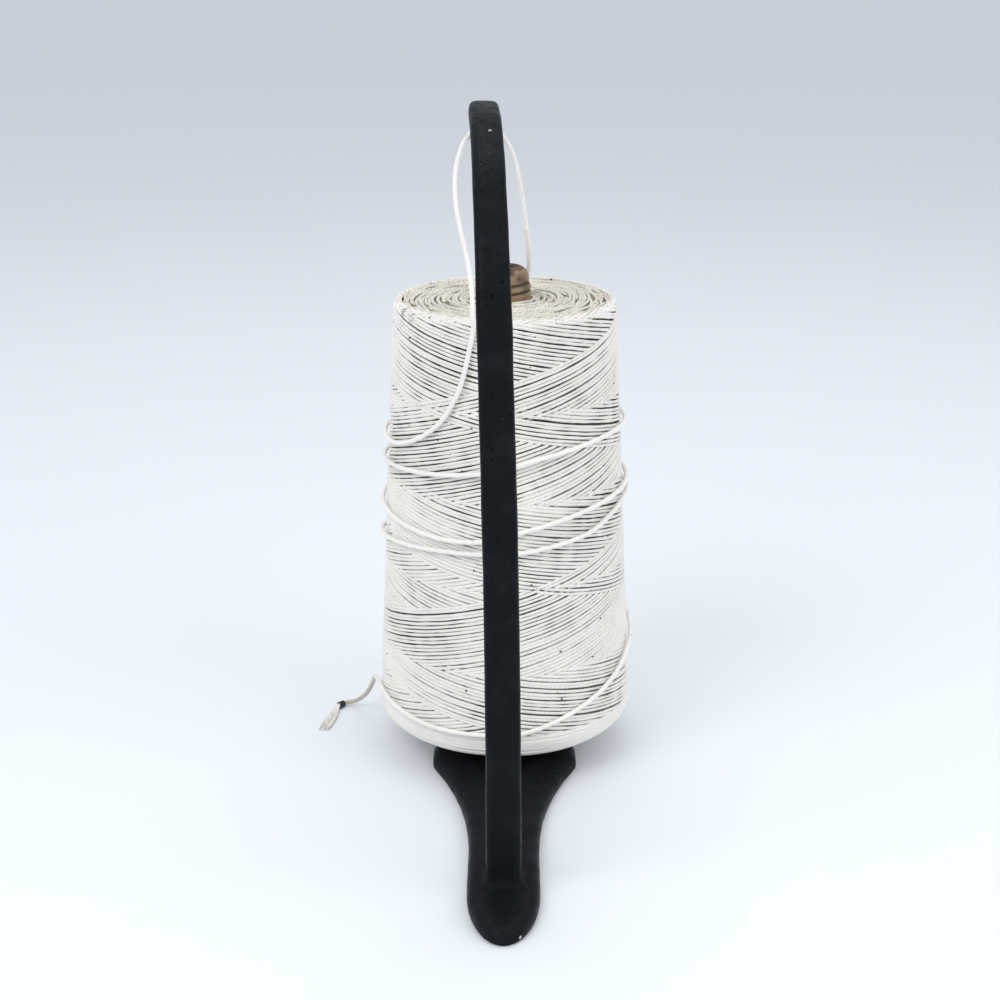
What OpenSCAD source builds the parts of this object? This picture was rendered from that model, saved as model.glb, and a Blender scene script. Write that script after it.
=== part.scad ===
// Counter-top string holder: a cast gooseneck frame with a seat for a wound cone of twine.
// Millimetres, +Z up. The origin is on the cone's axis, on the surface that the base stands on.
// The front lobe and the arm lie towards -Y.

/* [Base plate] */
// Distance from the cone's axis to the tip of the front lobe
lobe_reach = 181; // [178:1:195]
// Length of the lobe's oval end
lobe_len = 34.5; // [28:0.5:36]
// Width of the stem and of the round lobe at its front
stem_w = 30; // [30:1:40]
// Thickness of the plate
plate_t = 7; // [6:0.5:10]
// Height of the upright rim below the rounded edge
rim_h = 2.8; // [1.5:0.1:4]
// Width of the rounded edge
edge_w = 4; // [3:0.5:4]
// Bevel round the underside's edge
foot_bevel = 0.6; // [0.3:0.1:1]
// Width of the plate across its ears
ear_span = 67; // [66:1:76]
// Radius of the ears' corners
ear_r = 8.6; // [7:0.1:9]
// Distance from the axis to the centre of an ear's near corner
ear_near = 27; // [22:1:28]
// Distance from the axis to the centre of an ear's far corner
ear_far = 36; // [32:1:40]
// Depth of the hollow sides between the front and the rear ears
waist_dip = 5.5; // [3:0.1:5.8]
// Radius of the hollow flare from the stem to the ears
flare_r = 170; // [150:1:190]
// Radius of the round seat pad
seat_r = 24.8; // [24.5:0.1:25]
// Height of the seat pad above the plate
seat_h = 1; // [0.5:0.1:2]

/* [Arm] */
// Distance from the cone's axis to the middle of the arm's upright
arm_reach = 144; // [140:1:150]
// Height at which the upright starts to bend over
arm_rise = 199; // [195:1:210]
// Radius of the gooseneck at the middle of the arm
bend_r = 102; // [98:1:106]
// Width of the arm at its foot
arm_w = 14.4; // [12:0.1:14.8]
// Width of the arm at its tip
tip_w = 12.3; // [10:0.1:14]
// Thickness of the arm at its foot
arm_t = 10; // [8:0.1:12]
// Thickness of the arm at its tip
tip_t = 8; // [7:0.1:9]
// Radius of the arm's long edges
arm_edge_r = 2.6; // [1:0.1:3.4]
// Sideways lean of the old casting at the eye
arm_lean = 8.7; // [4:0.1:12]
// Radius of the fillet where the arm grows out of the lobe
root_r = 3.6; // [2:0.1:3.6]

/* [Eye] */
// Radius of the eye's hole
eye_r = 5; // [4.5:0.1:6]
// Thickness of the ring round the eye
eye_wall = 2.8; // [2:0.1:4]
// Width of the ring along its hole
eye_w = 11.4; // [9:0.1:12]

/* [Spindle] */
// Radius of the spindle above its foot
spindle_r = 7; // [6.8:0.1:8]
// Height of the spindle above the seat
spindle_h = 42; // [36:1:48]
// Height of the spindle's round foot
foot_h = 5; // [3:0.1:8]
// Radius of the hollow between the foot and the spindle
cove_r = 4; // [2:0.1:5]
// Radius of the spindle's upper edge
tip_round = 1.2; // [0.5:0.1:1.3]
// Radius of the screw's shank
screw_r = 3; // [2.5:0.1:3.2]
// Radius of the screw's countersunk head
screw_head_r = 5; // [4.5:0.1:5.2]
// Depth of the screw's head below the spindle's top
screw_sink = 0.5; // [0.2:0.1:1]
// Thickness of the casting left under the screw's blind hole
hole_floor = 2.5; // [2:0.1:3.5]
// Space under the screw's tip
tip_space = 0.5; // [0.2:0.1:1]
// Width of the screw's slot
slot_w = 1.4; // [1:0.1:2]
// Depth of the screw's slot
slot_h = 1.5; // [1:0.1:1.8]

/* [Paper core] */
// Radius of the core at its foot
core_foot_r = 24; // [22:0.1:25]
// Radius of the core where its nose starts to round over
core_nose_r = 10.5; // [9:0.1:12]
// Height of the core
core_h = 222; // [218:1:225]
// Thickness of the paper
core_wall = 2.5; // [1.5:0.1:3]
// Height of the rounded nose
nose_h = 10; // [6:0.1:10]
// Radius of the hole in the nose
nose_hole_r = 5.3; // [4.5:0.1:5.5]

/* [String cone] */
// Height of the wound body
cone_h = 201.6; // [198:0.2:206]
// Height of bare core under the wound body
cone_lift = 6.4; // [5:0.2:7]
// Radius of the wound body at its foot
cone_foot_r = 59.9; // [54:0.1:62]
// Radius of the wound body at its top
cone_top_r = 50; // [44:0.5:52]
// Radius of the wound body's lower corner
foot_round = 10; // [4:0.5:14]
// Radius of the wound body's upper shoulder
top_round = 5; // [2:0.5:8]

/* [String] */
// Diameter of the twine
string_d = 2.2; // [1.6:0.1:2.3]
// Times that the outer turns go down the cone and up again
wind_cycles = 6; // [3:1:6]
// Clear gap between the falling turns and the rising turns over them
layer_gap = 0.6; // [0.5:0.1:1]
// Bare height of cone above and below the outer turns
wind_margin = 14; // [12:1:24]
// Radius of the dark binding on the tail
binding_r = 1.6; // [1.4:0.1:2]
// Width of the flat frayed end
tuft_w = 4.4; // [3:0.1:6]
// Thickness of the frayed end at its tip
tuft_t = 1; // [0.6:0.1:1.4]

/* [Fits] */
// Clearance between pieces that turn past each other
run_gap = 0.3; // [0.2:0.05:0.5]
// Clearance between pieces that are fixed together
fit_gap = 0.1; // [0.05:0.01:0.2]

/* [Hidden] */
$fn = 64;

// Length by which a cutter runs past the faces that it opens
cut_past = 1;

// Heights of the seat, the core and the wound body
seat_z = plate_t + seat_h;
core_z = seat_z + run_gap;
nose_z = core_z + core_h - nose_h;
cone_z = core_z + cone_lift;
cone_top_z = cone_z + cone_h;

// Heights of the spindle and its screw
spindle_top = seat_z + spindle_h;
screw_top = spindle_top - screw_sink;
head_h = screw_head_r - screw_r;

// The gooseneck's centre, its end and the eye
bend_y = bend_r - arm_reach;
eye_place = [-arm_lean, 0, arm_rise + sqrt(bend_r * bend_r - bend_y * bend_y)];
lean_power = 2.1;
arm_sink = 3;
root_side = 0.4;
arm_foot_z = plate_t - arm_sink;
arm_up = arm_rise - arm_foot_z;
crest_length = arm_up + bend_r * PI / 2;
arm_end_turn = 90 + asin(-bend_y / bend_r) - (eye_r + eye_wall / 2) / bend_r * 180 / PI;
arm_length = arm_up + bend_r * arm_end_turn * PI / 180;

// Twine: rings in one loop, and how far a chord between two rings dips below the round
loop_rings = 24;
string_sides = 6;
ring_turn = 360 / loop_rings;
string_r = string_d / 2;
chord_dip = cone_foot_r * (1 - cos(ring_turn / 2));

// Depths below the wound body's outer surface, which the rising turns touch
rising_in = string_r;
falling_in = rising_in + string_d + layer_gap;
package_in = falling_in + string_r + chord_dip + fit_gap;

// One cycle of the outer turns: just under two loops down and as many up, so that the cycles fan out
cycle_fan = 6;
cycle_turn = 4 * 360 - 360 / cycle_fan;
half_turn = cycle_turn / 2;
turn_round = 20;
wind_rings = wind_cycles * cycle_turn / ring_turn;

// Twine up to the eye: share of the height above the cone's top, and offsets to the right and the rear
rise_route = [
    [0.009, -1.2, 9.6], [0.075, 0.6, 9], [0.18, 3.6, 7.2], [0.3, 5.5, 5], [0.432, 6.8, 3.2],
    [0.577, 8, 1.8], [0.75, 8.9, 0.5], [0.843, 8.4, 0], [0.893, 7.3, 0], [0.93, 5.9, 0],
    [0.957, 4, 0], [0.97, 1.6, 0], [0.973, -1, 0]
];
// Twine down from the eye: share of the height above the slack turns' start, and the same offsets
fall_route = [
    [0.973, -2.8, 1.7], [0.961, -5.2, 2.5], [0.93, -7.1, 2.8], [0.89, -9.2, 3.1], [0.798, -11.2, 3.1],
    [0.698, -11.4, 2.2], [0.58, -10, 1.2], [0.47, -7.3, -1.3], [0.37, -4.5, -4.3],
    [0.271, -2.2, -6.8], [0.172, -0.9, -7.3], [0.079, -0.3, -5.2]
];
// Slack turns: angle from the front, growing clockwise seen from above, and share of the cone's height
turn_route = [
    [15, 0.974], [20, 0.869], [32, 0.77], [56, 0.706], [80, 0.696], [130, 0.7], [180, 0.711],
    [230, 0.721], [273, 0.726], [307, 0.726], [341, 0.706], [373, 0.671], [437, 0.642], [490, 0.627],
    [540, 0.616], [590, 0.601], [643, 0.587], [663, 0.582], [688, 0.567], [713, 0.543], [730, 0.522],
    [746, 0.517], [766, 0.522], [806, 0.538], [850, 0.547], [900, 0.552], [950, 0.557], [1003, 0.562],
    [1023, 0.543], [1037, 0.522], [1057, 0.507], [1073, 0.497], [1091, 0.493], [1115, 0.488],
    [1152, 0.468], [1180, 0.448], [1220, 0.398], [1260, 0.343], [1300, 0.285], [1340, 0.23],
    [1367, 0.19], [1386, 0.15], [1408, 0.111], [1432, 0.076], [1448, 0.071], [1473, 0.071],
    [1495, 0.081], [1512, 0.09]
];
// Height of the bound tail's middle line over the counter
tail_lift = binding_r + 0.3;
// Twine from the slack turns' end to the counter and along it: offsets to the right and rear, and height
tail_route = [
    [-4.6, 20.8, 29], [-7.1, 29.8, 21], [-11.1, 38.8, 11], [-17.1, 45.8, 3.6], [-22.1, 47.3, tail_lift],
    [-25.6, 43.8, tail_lift]
];
tuft_route = [[-26.9, 39.8, 1.6], [-28.3, 32.8, 1.3], [-29.7, 25.8, 1.2], [-31.1, 18.8, 1.2]];

function unit(v) = v / norm(v);

function held(x) = min(1, max(0, x));

function between(from, to, share) = from + (to - from) * share;

function oval(centre, half_x, half_y, from, to, steps) = [
    for (i = [0 : steps])
        let (a = between(from, to, i / steps))
        centre + [half_x * cos(a), half_y * sin(a)]
];

function arc(centre, r, from, to, steps) = oval(centre, r, r, from, to, steps);

// Outer radius of the paper core and of the wound body at a height
function core_r(z) = between(core_foot_r, core_nose_r, (z - core_z) / (nose_z - core_z));

function cone_r(z) = between(cone_foot_r, cone_top_r, (z - cone_z) / cone_h);

// Base plate's outline, drawn in by an inset, as arcs that run into each other
ear_x = ear_span / 2 - ear_r;
stem_half = stem_w / 2;
flare_c = [
    stem_half + flare_r,
    -ear_far - sqrt(pow(flare_r + ear_r, 2) - pow(stem_half + flare_r - ear_x, 2))
];
flare_end = atan2(-ear_far - flare_c[1], ear_x - flare_c[0]);

waist_r = (ear_near * ear_near + pow(ear_r - waist_dip, 2) - ear_r * ear_r) / (2 * waist_dip);
waist_c = [ear_span / 2 - waist_dip + waist_r, 0];
waist_end = atan2(ear_near, waist_c[0] - ear_x);

function plate_half(inset) = concat(
    oval([0, lobe_len - lobe_reach], stem_half - inset, lobe_len - inset, -90, 0, 9),
    arc(flare_c, flare_r + inset, 180, flare_end, 6),
    arc([ear_x, -ear_far], ear_r - inset, flare_end - 180, 0, 3),
    arc([ear_x, -ear_near], ear_r - inset, 0, waist_end, 2),
    arc(waist_c, waist_r + inset, 180 + waist_end, 180 - waist_end, 4),
    arc([ear_x, ear_near], ear_r - inset, -waist_end, 0, 2),
    arc([ear_x, ear_far], ear_r - inset, 0, 90, 4)
);

// The right half and its mirror image, which share the lobe's foremost point
function plate_outline(inset) =
    let (half = plate_half(inset), last = len(half) - 1)
    concat(half, [for (i = [last : -1 : 1]) [-half[i][0], half[i][1]]]);

function at_height(outline, z) = [for (p = outline) [p[0], p[1], z]];

// Solid through rings of points, each ring running the same way round. Mirrored rings get caps in strips.
module skin(rings, mirrored = false) {
    n = len(rings[0]);
    last = len(rings) - 1;
    sides = [
        for (i = [0 : last - 1], k = [0 : n - 1])
            let (a = i * n + k, b = i * n + (k + 1) % n)
            each [[a, a + n, b + n], [a, b + n, b]]
    ];
    strips = [for (k = [1 : (n - 3) / 2]) each [[k, k + 1, n - k], [k + 1, n - k - 1, n - k]]];
    cap = mirrored ? concat([[0, 1, n - 1]], strips) : [[for (k = [0 : n - 1]) k]];
    last_cap = [for (face = cap) [for (k = [len(face) - 1 : -1 : 0]) last * n + face[k]]];
    polyhedron(points = [for (r = rings) each r], faces = concat(sides, cap, last_cap));
}

module base_plate() {
    edge_steps = 4;
    rings = concat(
        [at_height(plate_outline(foot_bevel), 0), at_height(plate_outline(0), foot_bevel)],
        [
            for (i = [0 : edge_steps])
                let (a = 90 * i / edge_steps)
                at_height(plate_outline(edge_w * (1 - cos(a))), between(rim_h, plate_t, sin(a)))
        ]
    );
    skin(rings, mirrored = true);
}

// The arm's middle line: up the front, then over towards the axis, leaning to one side
function arm_turn(s) = max(0, (s - arm_up) / bend_r * 180 / PI);

function arm_place(s) =
    let (a = arm_turn(s))
    [
        -arm_lean * pow(min(1, s / crest_length), lean_power),
        bend_y - bend_r * cos(a),
        arm_foot_z + min(s, arm_up) + bend_r * sin(a)
    ];

// A rounded rectangle across the arm, turned to face along it, that swells into the fillet at the foot
function arm_ring(s) =
    let (
        share = s / arm_length,
        rise = max(0, plate_t + root_r - arm_foot_z - s),
        swell = root_r - sqrt(max(0, root_r * root_r - rise * rise)),
        half_w = between(arm_w, tip_w, share) / 2 + root_side * swell,
        half_t = between(arm_t, tip_t, share) / 2 + swell,
        a = arm_turn(s),
        out = [0, -cos(a), sin(a)],
        place = arm_place(s),
        corner_steps = 3
    )
    [
        for (q = [0 : 3], i = [0 : corner_steps])
            let (
                b = 90 * q + 90 * i / corner_steps,
                corner = [q == 0 || q == 3 ? 1 : -1, q < 2 ? 1 : -1],
                u = corner[0] * (half_w - arm_edge_r) + arm_edge_r * cos(b),
                v = corner[1] * (half_t - arm_edge_r) + arm_edge_r * sin(b)
            )
            place + [u, 0, 0] - v * out
    ];

module arm() {
    root_steps = 5;
    up_steps = 4;
    bend_steps = 20;
    root_end = plate_t + root_r - arm_foot_z;
    stations = concat(
        [for (i = [0 : root_steps]) between(0, root_end, sin(90 * i / root_steps))],
        [for (i = [1 : up_steps]) between(root_end, arm_up, i / up_steps)],
        [for (i = [1 : bend_steps]) between(arm_up, arm_length, i / bend_steps)]
    );
    skin([for (s = stations) arm_ring(s)]);
}

// Ring with rounded mouths, its hole running left to right
module eye_ring() {
    half = eye_w / 2;
    bore_skim = 0.3;
    round_r = (eye_wall + bore_skim) / 2;
    mid = eye_r + eye_wall - round_r;
    translate(eye_place)
        rotate([0, 90, 0])
            rotate_extrude()
                polygon(concat(
                    arc([mid, half - round_r], round_r, 0, 180, 6),
                    arc([mid, round_r - half], round_r, 180, 360, 6)
                ));
}

// Round pad that the spindle and the paper core stand on
module seat_pad() {
    round_steps = 48;
    outline = [
        for (i = [0 : round_steps - 1])
            let (a = 360 * (i + 0.5) / round_steps)
            seat_r * [cos(a), sin(a)]
    ];
    skin([at_height(outline, plate_t / 2), at_height(outline, seat_z)]);
}

module frame_casting() {
    color([0.10, 0.11, 0.12])
        difference() {
            union() {
                base_plate();
                seat_pad();
                arm();
                eye_ring();
            }
            translate([0, 0, hole_floor])
                cylinder(h = seat_z - hole_floor + cut_past, r = screw_r + fit_gap);
            translate(eye_place - [eye_w, 0, 0])
                rotate([0, 90, 0])
                    cylinder(h = 2 * eye_w, r = eye_r);
        }
}

// Turned peg that centres the paper core, bored for the screw that holds it down
module spindle() {
    foot_r = core_r(seat_z + foot_h) - core_wall - run_gap;
    foot_edge_r = foot_h / 2;
    color([0.45, 0.45, 0.47])
        difference() {
            rotate_extrude()
                polygon(concat(
                    [[0, seat_z], [foot_r, seat_z]],
                    arc([foot_r - foot_edge_r, seat_z + foot_h - foot_edge_r], foot_edge_r, 0, 90, 5),
                    arc([spindle_r + cove_r, seat_z + foot_h + cove_r], cove_r, 270, 180, 6),
                    arc([spindle_r - tip_round, spindle_top - tip_round], tip_round, 0, 90, 4),
                    [[0, spindle_top]]
                ));
            translate([0, 0, seat_z - cut_past])
                cylinder(h = spindle_h + 2 * cut_past, r = screw_r + fit_gap);
            translate([0, 0, screw_top - head_h])
                cylinder(h = head_h, r1 = screw_r + fit_gap, r2 = screw_head_r + fit_gap);
            translate([0, 0, screw_top])
                cylinder(h = screw_sink + cut_past, r = screw_head_r + fit_gap);
        }
}

// Slotted screw down through the spindle into the casting
module spindle_screw() {
    screw_foot = hole_floor + tip_space;
    color([0.55, 0.54, 0.50])
        difference() {
            union() {
                translate([0, 0, screw_foot])
                    cylinder(h = screw_top - screw_foot, r = screw_r);
                translate([0, 0, screw_top - head_h])
                    cylinder(h = head_h, r1 = screw_r, r2 = screw_head_r);
            }
            translate([-screw_head_r - cut_past, -slot_w / 2, screw_top - slot_h])
                cube([2 * (screw_head_r + cut_past), slot_w, slot_h + cut_past]);
        }
}

// Tapered paper tube whose nose rounds over to a hole
module paper_core() {
    nose_w = core_nose_r - nose_hole_r;
    nose_steps = 8;
    outer = [
        for (i = [0 : nose_steps])
            let (a = 90 * i / nose_steps)
            [nose_hole_r + nose_w * cos(a), nose_z + nose_h * sin(a)]
    ];
    inner = [
        for (i = [nose_steps : -1 : 0])
            let (a = 90 * i / nose_steps)
            [nose_hole_r + (nose_w - core_wall) * cos(a), nose_z + (nose_h - core_wall) * sin(a)]
    ];
    color([0.52, 0.43, 0.34])
        rotate_extrude()
            polygon(concat([[core_foot_r, core_z]], outer, inner, [[core_foot_r - core_wall, core_z]]));
}

// Wound body under the outer turns, with the paper core's bore
module string_package() {
    foot_edge = cone_r(cone_z + foot_round) - package_in;
    top_edge = cone_r(cone_top_z - top_round) - package_in;
    color([0.88, 0.87, 0.84])
        rotate_extrude()
            polygon(concat(
                [[core_r(cone_z) + fit_gap, cone_z]],
                arc([foot_edge - foot_round, cone_z + foot_round], foot_round, 270, 360, 6),
                arc([top_edge - top_round, cone_top_z - top_round], top_round, 0, 90, 5),
                [[core_r(cone_top_z) + fit_gap, cone_top_z]]
            ));
}

// Ring of a tube round a point of its route, square to the way that the route runs
function tube_ring(p, along, side, r) =
    let (b = unit(cross(along, side)), c = cross(along, b))
    [
        for (k = [0 : string_sides - 1])
            let (a = 360 * k / string_sides)
            p + r * (b * cos(a) + c * sin(a))
    ];

function route_along(route) =
    let (last = len(route) - 1)
    [for (i = [0 : last]) unit(route[min(i + 1, last)] - route[max(i - 1, 0)])];

// Angle past the nearest turning point of the outer turns, negative before it
function past_turn(phase) =
    phase < half_turn / 2 ? phase
    : phase < 1.5 * half_turn ? phase - half_turn
    : phase - cycle_turn;

function eased(x) = let (t = held(x)) t * t * (3 - 2 * t);

// Outer turns by angle: falling turns lie under rising ones and the turning points are rounded
function wind_point(angle) =
    let (
        phase = angle % cycle_turn,
        past = past_turn(phase),
        away = abs(past) < turn_round ? (past * past / turn_round + turn_round) / 2 : abs(past),
        at_top = phase < half_turn / 2 || phase >= 1.5 * half_turn,
        share = at_top ? 1 - away / half_turn : away / half_turn,
        step = eased((past + turn_round) / (2 * turn_round)),
        risen = at_top ? (angle < half_turn / 2 ? 0 : 1 - step) : step,
        z = cone_z + wind_margin + share * (cone_h - 2 * wind_margin),
        r = cone_r(z) - between(falling_in, rising_in, risen)
    )
    [r * sin(angle), -r * cos(angle), z];

wind_route = [for (i = [0 : wind_rings - 1]) wind_point(i * ring_turn)];

// Distance between the nearest points of two chords
function chord_distance(a, b, c, d) =
    let (
        u = b - a,
        v = d - c,
        w = a - c,
        slant = u * v,
        spread = max((u * u) * (v * v) - slant * slant, 0.001),
        s = held((slant * (v * w) - (v * v) * (u * w)) / spread),
        t = held((slant * s + v * w) / (v * v))
    )
    norm(w + held((slant * t - u * w) / (u * u)) * u - t * v);

// Least gap of a route's tube to itself, between chords that aren't neighbours
function least_gap(route) =
    let (skip = 4, reach = 20, last = len(route) - 2)
    min([
        for (i = [0 : last - skip], j = [i + skip : last])
            if (norm(route[i] - route[j]) < reach)
                chord_distance(route[i], route[i + 1], route[j], route[j + 1])
    ]) - string_d;

module outer_winding() {
    echo(outer_winding_least_gap = least_gap(wind_route));
    along = route_along(wind_route);
    color([0.93, 0.92, 0.89])
        skin([
            for (i = [0 : len(wind_route) - 1])
                let (p = wind_route[i])
                tube_ring(p, along[i], unit([p[0], p[1], 0]), string_r)
        ]);
}

// Smooth curve through given points
function curve_point(a, b, c, d, t) =
    0.5 * (2 * b + (c - a) * t + (2 * a - 5 * b + 4 * c - d) * t * t + (3 * b - a - 3 * c + d) * t * t * t);

function curve(points, steps) =
    let (last = len(points) - 1)
    concat(
        [
            for (i = [0 : last - 1], k = [0 : steps - 1])
                let (before = points[max(i - 1, 0)], after = points[min(i + 2, last)])
                curve_point(before, points[i], points[i + 1], after, k / steps)
        ],
        [points[last]]
    );

// Slack turns lie outside the turning cone by the running clearance
slack_out = run_gap + string_r + chord_dip;

// Share of the cone's height at an angle of the slack turns, smooth through the given values
function slack_share(angle) =
    let (
        last = len(turn_route) - 1,
        i = max([for (k = [0 : last - 1]) if (turn_route[k][0] <= angle) k]),
        a = turn_route[max(i - 1, 0)],
        b = turn_route[i],
        c = turn_route[i + 1],
        d = turn_route[min(i + 2, last)],
        t = (angle - b[0]) / (c[0] - b[0]),
        rise_b = (c[1] - a[1]) / (c[0] - a[0]) * (c[0] - b[0]),
        rise_c = (d[1] - b[1]) / (d[0] - b[0]) * (c[0] - b[0]),
        cube_part = 2 * b[1] - 2 * c[1] + rise_b + rise_c,
        square_part = 3 * c[1] - 3 * b[1] - 2 * rise_b - rise_c
    )
    cube_part * t * t * t + square_part * t * t + rise_b * t + b[1];

function slack_point(angle) =
    let (z = cone_z + cone_h * slack_share(angle), r = cone_r(z) + slack_out)
    [-r * sin(angle), -r * cos(angle), z];

slack_from = turn_route[0][0];
slack_to = turn_route[len(turn_route) - 1][0];
slack_start = slack_point(slack_from);
slack_end = slack_point(slack_to);
slack_first_step = 5;
slack_steep_to = 60;

lead_start = [core_nose_r, 0, cone_top_z];
lead_points = concat(
    [for (p = rise_route) between(lead_start, eye_place, p[0]) + [p[1], p[2], 0]],
    [for (p = fall_route) between(slack_start, eye_place, p[0]) + [p[1], p[2], 0]]
);
tail_points = [
    for (p = concat(tail_route, tuft_route))
        [slack_end[0] + p[0], slack_end[1] + p[1], p[2]]
];
lead_steps = 2;
tail_steps = 3;
lead_curve = curve(lead_points, lead_steps);
slack_curve = concat(
    [for (a = [slack_from : slack_first_step : slack_steep_to]) slack_point(a)],
    [for (a = [slack_steep_to + ring_turn : ring_turn : slack_to]) slack_point(a)],
    [slack_end]
);
tail_curve = curve(tail_points, tail_steps);

// The free twine as one route, which its stretches share ring by ring
free_route = concat(lead_curve, slack_curve, tail_curve);
free_along = route_along(free_route);
lead_last = len(lead_curve);
slack_last = lead_last + len(slack_curve) - 1;
tail_last = slack_last + 1 + tail_steps * (len(tail_route) - 1);
tuft_last = len(free_route) - 1;

function free_side(i) =
    i < lead_last ? [0, 1, 0]
    : i <= slack_last ? unit([free_route[i][0], free_route[i][1], 0])
    : [0, 0, 1];

module free_stretch(from, to, r = string_r) {
    skin([for (i = [from : to]) tube_ring(free_route[i], free_along[i], free_side(i), r)]);
}

module string_lead() {
    color([0.94, 0.93, 0.90])
        free_stretch(0, lead_last);
}

module loose_turns() {
    echo(loose_turns_least_gap = least_gap(slack_curve));
    color([0.94, 0.93, 0.90])
        free_stretch(lead_last, slack_last);
}

module string_tail() {
    color([0.80, 0.79, 0.76])
        free_stretch(slack_last, tail_last);
}

// Dark thread bound round the tail, just before the fray
module tail_binding() {
    binding_rings = 2;
    color([0.16, 0.15, 0.15])
        difference() {
            free_stretch(tail_last - binding_rings, tail_last, binding_r);
            free_stretch(tail_last - binding_rings - 1, tail_last + 1, string_r + fit_gap);
        }
}

// Flat, widening end where the twine has come apart
module tail_tuft() {
    n = tuft_last - tail_last;
    tip_taper = 0.4;
    color([0.80, 0.79, 0.76])
        skin([
            for (i = [0 : n])
                let (
                    p = free_route[tail_last + i],
                    share = i / n,
                    across = unit(cross(free_along[tail_last + i], [0, 0, 1])),
                    spread = between(string_r, tuft_w / 2, sin(180 * min(share, 0.5))),
                    half_w = spread * (1 - tip_taper * pow(share, 4)),
                    half_h = between(string_r, tuft_t / 2, share)
                )
                [
                    for (k = [0 : string_sides - 1])
                        let (a = 360 * k / string_sides)
                        p + across * half_w * cos(a) + [0, 0, half_h * sin(a)]
                ]
        ]);
}

frame_casting();
spindle();
spindle_screw();
paper_core();
string_package();
outer_winding();
string_lead();
loose_turns();
string_tail();
tail_binding();
tail_tuft();
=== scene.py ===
import math
import random

import bmesh
import bpy
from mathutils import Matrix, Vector, noise


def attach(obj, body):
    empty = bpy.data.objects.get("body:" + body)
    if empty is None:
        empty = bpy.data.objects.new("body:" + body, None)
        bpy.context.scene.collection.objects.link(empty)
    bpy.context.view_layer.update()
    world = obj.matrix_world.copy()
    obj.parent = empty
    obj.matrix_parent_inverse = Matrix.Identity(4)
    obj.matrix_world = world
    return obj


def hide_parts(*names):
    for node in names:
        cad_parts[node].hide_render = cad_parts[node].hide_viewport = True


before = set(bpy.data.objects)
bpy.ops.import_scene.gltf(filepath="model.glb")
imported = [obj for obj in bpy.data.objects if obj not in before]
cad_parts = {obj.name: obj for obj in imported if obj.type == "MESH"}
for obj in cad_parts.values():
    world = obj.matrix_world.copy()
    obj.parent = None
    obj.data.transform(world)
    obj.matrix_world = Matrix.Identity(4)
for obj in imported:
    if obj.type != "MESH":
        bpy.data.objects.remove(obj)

bl_info = {
    "name": "String holder",
    "version": (1, 0, 0),
    "blender": (4, 5, 0),
    "location": "View3D > Sidebar > String holder",
    "description": "Dresses a counter-top string holder: casting, paper core, wound cone and free twine",
    "category": "Object",
}

MM = 0.001
TAU = 2 * math.pi
QUARTER = math.pi / 2

# Sizes that the solids fix, in millimetres
CORE_Z = 8.3
CORE_H = 222.0
CORE_FOOT_R = 24.0
CORE_NOSE_R = 10.5
CORE_WALL = 2.5
NOSE_H = 10.0
NOSE_Z = CORE_Z + CORE_H - NOSE_H
NOSE_HOLE_R = 5.3
CONE_Z = 14.7
CONE_H = 201.6
CONE_TOP_Z = CONE_Z + CONE_H
CONE_FOOT_R = 59.9
CONE_TOP_R = 50.0
FOOT_ROUND = 10.0
TOP_ROUND = 5.0
TWINE_R = 1.1
EYE = (-8.7, 0.0, 291.952)
SLACK_OUT = 1.913

# Segments round a turned shape
ROUND_STEPS = 128

# The casting: gap that joins loose triangles, and height of the foot that the lumps leave flat
MERGE = 0.02
FLAT_FOOT = 1

# The core: steps of the nose's rounding, height of the creased side, steps of both parts of the side,
# height at which the creases begin, and how far the nose leans
NOSE_STEPS = 28
CREASED_H = 18
PLAIN_STEPS = 30
CREASED_STEPS = 60
CREASE_FROM = 205
NOSE_LEAN = (0.9, -0.7, 0)

# The wound strands: rounding over the top edge, mean radius, start over the foot, end past the shoulder
# in rim radii, and height over which they come up
RIM_R = 3.4
MEAN_R = 55
STRAND_FROM = 9
RIM_REACH = 1.5
FADE_IN = 4
# Shares of the pattern in which a strand ends and dives, and the depth that it dives to
UNDER = 0.02
DIVE = 0.07
SUNK = 1.5
# A strand's unevenness: shift and swing in height, waves for each mm of height, shiver, and stand-out
SHIFT = 0.14
SWING = (0.05, 0.25)
WAVE = 0.045
SHIVER = 0.16
PUFF = (-0.10, 0.12)
# Thickness of the strands in worn patches and at random, and the most it may be, as factors
WORN_SWELL = 0.26
RANDOM_SWELL = 0.3
MOST_SWELL = 1.3

# The body under the strands: depth in strand thicknesses, gap to the core, and slope of its end
BODY_DEPTH = 1.15
CORE_GAP = 0.1
END_SLOPE = 0.9

# Loops round the foot's rounding, how many of them make a quarter, loops under it and the radii of these
EDGE_LOOPS = 13
EDGE_QUARTER = 11
UNDER_LOOPS = 11
UNDER_R = (26, 49)

# Arcs on the top: rings, steps of an arc, radii of the first and last ring, radii that no arc passes,
# spacing of the arcs along a ring, and their radius in strand thicknesses
TOP_RINGS = 21
TOP_STEPS = 9
TOP_INNER_R = 12.8
TOP_OUTER_R = CONE_TOP_R - 2.6
TOP_LEAST_R = 12.3
TOP_MOST_R = CONE_TOP_R - 2.2
ARC_SPACING = 17
ARC_R = 0.53
# An arc's shift and length in spacings, drift outwards, lift, depth under the top, and dip of its ends
ARC_SHIFT = 0.25
ARC_REACH = (1.5, 2.1)
ARC_DRIFT = (0.9, 2.4)
ARC_LIFT = (-0.6, 0.25)
ARC_SUNK = 0.25
ARC_DIP = 2.0

# The free twine: mm of it that are greyer at the end, and mm over which that comes in
GREYED_END = 62
GREYED_FADE = 30
# Number of plies, how deep they are as a share of the radius, and length of the wound twine's twist
PLIES = 3
PLY_DEPTH = 0.10
WOUND_LAY = 7.5
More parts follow.
